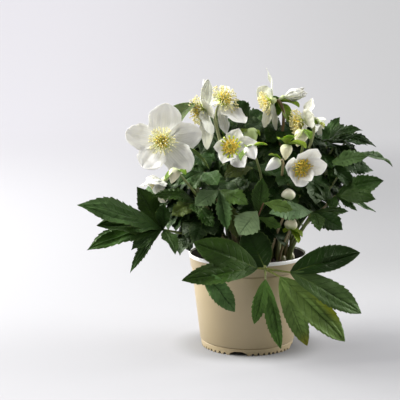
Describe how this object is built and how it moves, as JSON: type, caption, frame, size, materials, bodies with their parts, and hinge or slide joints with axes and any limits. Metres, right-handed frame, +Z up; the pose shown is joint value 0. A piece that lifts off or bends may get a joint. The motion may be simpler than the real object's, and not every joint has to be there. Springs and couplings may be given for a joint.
{
  "type": "hellebore plant in nursery pot",
  "caption": "Flowering hellebore (Christmas rose) with white cup flowers, buds and divided dark green leaves, growing in a round tapered beige nursery pot.",
  "frame": {"origin": "on the surface that the pot stands on, at the middle of the pot's foot, which is also the middle of the whole plant's box seen from above", "axes": "+Z up; +X to the right and -Y to the front, the side that the flowers and the hanging leaf face"},
  "size_m": [0.323, 0.2296, 0.287],
  "materials": {
    "pot": "satin",
    "potting_mix": "matte",
    "leaf": "satin",
    "stem": "satin",
    "sepal": "satin",
    "stamen": "matte",
    "bud": "satin"
  },
  "bodies": {
    "root": {"pot": "pot", "potting_mix": "potting_mix", "leaf_01": "leaf", "leaf_02": "leaf", "leaf_03": "leaf", "leaf_04": "leaf", "leaf_05": "leaf", "leaf_06": "leaf", "leaf_07": "leaf", "leaf_08": "leaf", "leaf_09": "leaf", "leaf_10": "leaf", "leaf_11": "leaf", "leaf_12": "leaf", "leaf_13": "leaf", "leaf_14": "leaf", "leaf_15": "leaf", "leaf_16": "leaf", "leaf_17": "leaf", "leaf_18": "leaf", "leaf_19": "leaf", "leaf_20": "leaf", "leaf_21": "leaf", "flower_stem_1": "stem", "flower_stem_2": "stem", "flower_stem_3": "stem", "flower_stem_4": "stem", "flower_stem_5": "stem", "flower_stem_6": "stem", "flower_stem_7": "stem", "flower_stem_8": "stem", "flower_stem_9": "stem", "flower_stem_10": "stem", "flower_sepals_1": "sepal", "flower_sepals_2": "sepal", "flower_sepals_3": "sepal", "flower_sepals_4": "sepal", "flower_sepals_5": "sepal", "flower_sepals_6": "sepal", "flower_sepals_7": "sepal", "flower_sepals_8": "sepal", "flower_sepals_9": "sepal", "flower_sepals_10": "sepal", "flower_stamens_1": "stamen", "flower_stamens_2": "stamen", "flower_stamens_3": "stamen", "flower_stamens_4": "stamen", "flower_stamens_6": "stamen", "flower_stamens_7": "stamen", "flower_stamens_8": "stamen", "flower_stamens_9": "stamen", "flower_stamens_10": "stamen", "bud_1": "bud", "bud_2": "bud", "bud_3": "bud", "bud_4": "bud", "bud_5": "bud", "bud_6": "bud", "bud_7": "bud", "bud_8": "bud"}
  },
  "joints": []
}
